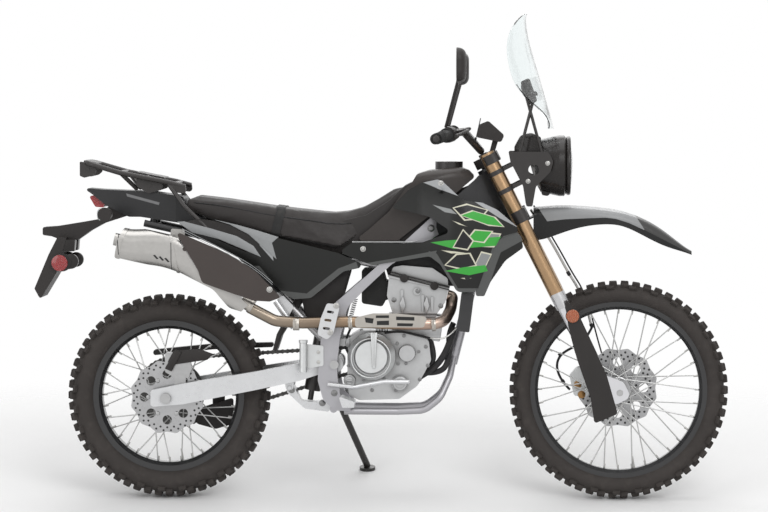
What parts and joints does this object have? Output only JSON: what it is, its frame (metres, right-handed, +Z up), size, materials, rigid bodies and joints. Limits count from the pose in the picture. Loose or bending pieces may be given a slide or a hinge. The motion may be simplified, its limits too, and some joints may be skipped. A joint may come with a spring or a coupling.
{
  "type": "dual sport motorcycle",
  "caption": "Dual sport motorcycle with spoked wheels, knobbly tyres, a tall screen and a luggage rack, leaning on its side stand.",
  "frame": {"origin": "on the ground, below the middle of the parked motorcycle's box", "axes": "+X forward along the motorcycle, +Y to the rider's left, +Z up; it leans to +Y on its side stand"},
  "size_m": [2.2138, 0.891, 1.5292],
  "materials": {
    "black_plastic": "fine grained",
    "silver_panel": "satin",
    "grey_panel": "fine grained",
    "clear_screen": "clear",
    "seat_cover": "grained vinyl",
    "tyre_rubber": "moulded",
    "grip_rubber": "ribbed",
    "black_rim": "gloss",
    "steel": "brushed",
    "black_steel": "satin",
    "gold_tube": "anodised",
    "chrome_tube": "polished",
    "silver_frame": "metallic",
    "engine_alloy": "cast",
    "header_steel": "heat tinted",
    "can_steel": "brushed",
    "red_lens": "clear red"
  },
  "bodies": {
    "chassis": {"airbox": "black_plastic", "brake_pedal": "black_steel", "chain": "steel", "chain_guards": "black_plastic", "clutch_cover": "engine_alloy", "crankcase": "engine_alloy", "cylinder": "engine_alloy", "exhaust_pipe": "header_steel", "footrests": "black_steel", "front_sprocket": "steel", "fuel_cap": "black_steel", "fuel_tank": "black_plastic", "gear_pedal": "black_steel", "generator_cover": "engine_alloy", "heat_panel": "grey_panel", "heat_shield": "can_steel", "intake": "black_plastic", "linkage": "black_steel", "luggage_rack": "black_steel", "main_frame": "silver_frame", "master_cylinder": "black_steel", "pivot_bolt": "steel", "plate_bracket": "black_plastic", "radiators": "black_plastic", "rear_axle": "steel", "rear_caliper": "black_steel", "rear_indicators": "black_plastic", "seat": "seat_cover", "shock_absorber": "black_steel", "shrouds": "black_plastic", "side_covers": "silver_panel", "silencer": "can_steel", "subframe": "silver_frame", "swingarm": "engine_alloy", "tail_fender": "black_plastic", "tail_lamp": "red_lens"},
    "steering": {"triple_clamps": "silver_frame", "fork_outer_tubes": "gold_tube", "fork_inner_tubes": "chrome_tube", "fork_guards": "black_plastic", "front_axle": "steel", "front_caliper": "black_steel", "front_fender": "black_plastic", "headlight": "black_plastic", "screen_bracket": "black_plastic", "windscreen": "clear_screen", "instrument": "black_plastic", "handlebar": "black_steel", "grips": "grip_rubber", "controls": "black_plastic", "mirrors": "black_plastic"},
    "front_wheel": {"front_tyre": "tyre_rubber", "front_rim": "black_rim", "front_hub": "black_steel"},
    "rear_wheel": {"rear_tyre": "tyre_rubber", "rear_rim": "black_rim", "rear_hub": "black_steel", "rear_sprocket": "steel"},
    "side_stand": {"side_stand": "black_steel"}
  },
  "joints": [
    {"name": "steering_turn", "type": "hinge", "parent": "chassis", "child": "steering", "pos_m": [0.41636, -0.07408, 0.88206], "axis": [-0.449, 0.1474, 0.8813], "range_deg": [-43, 43]},
    {"name": "front_wheel_spin", "type": "hinge", "parent": "steering", "child": "front_wheel", "pos_m": [0.75831, -0.16387, 0.3454], "axis": [-0.0001, 0.9863, -0.165], "continuous": true},
    {"name": "rear_wheel_spin", "type": "hinge", "parent": "chassis", "child": "rear_wheel", "pos_m": [-0.68169, -0.16767, 0.3232], "axis": [-0.0001, 0.9863, -0.165], "continuous": true},
    {"name": "side_stand_fold", "type": "hinge", "parent": "chassis", "child": "side_stand", "pos_m": [-0.15471, -0.02762, 0.28742], "axis": [0.1569, 0.8941, 0.4195], "range_deg": [0, 92]}
  ]
}
